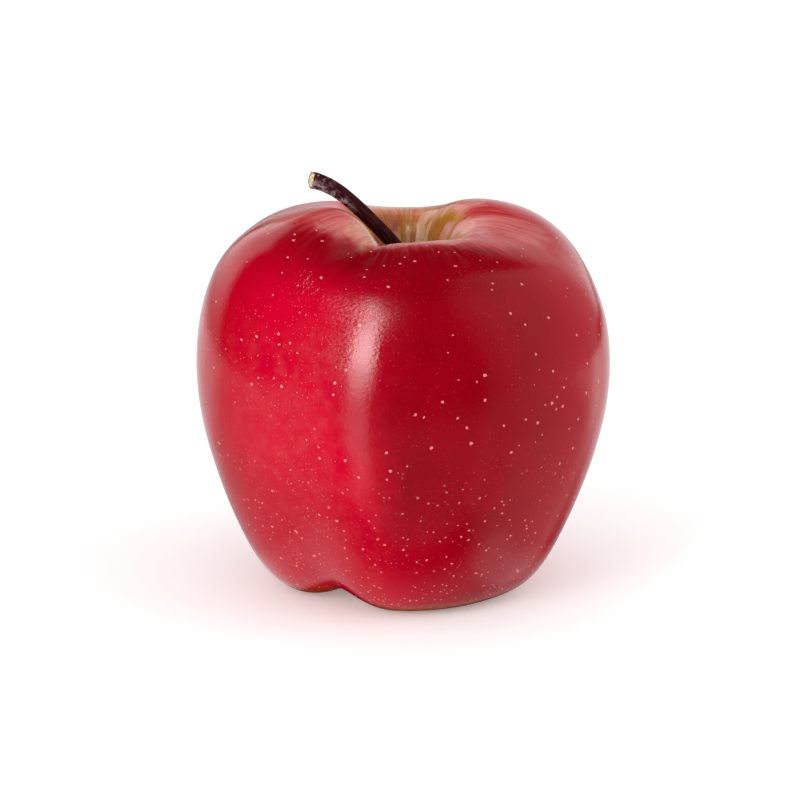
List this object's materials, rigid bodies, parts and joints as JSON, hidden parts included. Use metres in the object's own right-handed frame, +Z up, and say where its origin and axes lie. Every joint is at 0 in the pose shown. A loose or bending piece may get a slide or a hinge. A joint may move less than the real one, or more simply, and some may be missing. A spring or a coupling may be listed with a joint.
{
  "type": "red apple",
  "caption": "Ripe red apple with soft lobes that stands upright, its bent woody stem in the stem cavity and its dried calyx in the basin underneath.",
  "frame": {"origin": "middle of the outline, on the surface that the apple stands on", "axes": "+Z up along the core, -Y towards the front, +X towards its right"},
  "size_m": [0.0772, 0.0775, 0.0784],
  "materials": {
    "skin": "waxy apple skin, crimson with pale dots, paler and streaked at the shoulders, green and russet in the stem cavity",
    "stem": "matt dark brown bark with a grey bloom and a pale torn end",
    "calyx": "dry, matt, downy brown"
  },
  "bodies": {
    "root": {"fruit": "skin", "stem": "stem", "calyx": "calyx"}
  },
  "joints": []
}
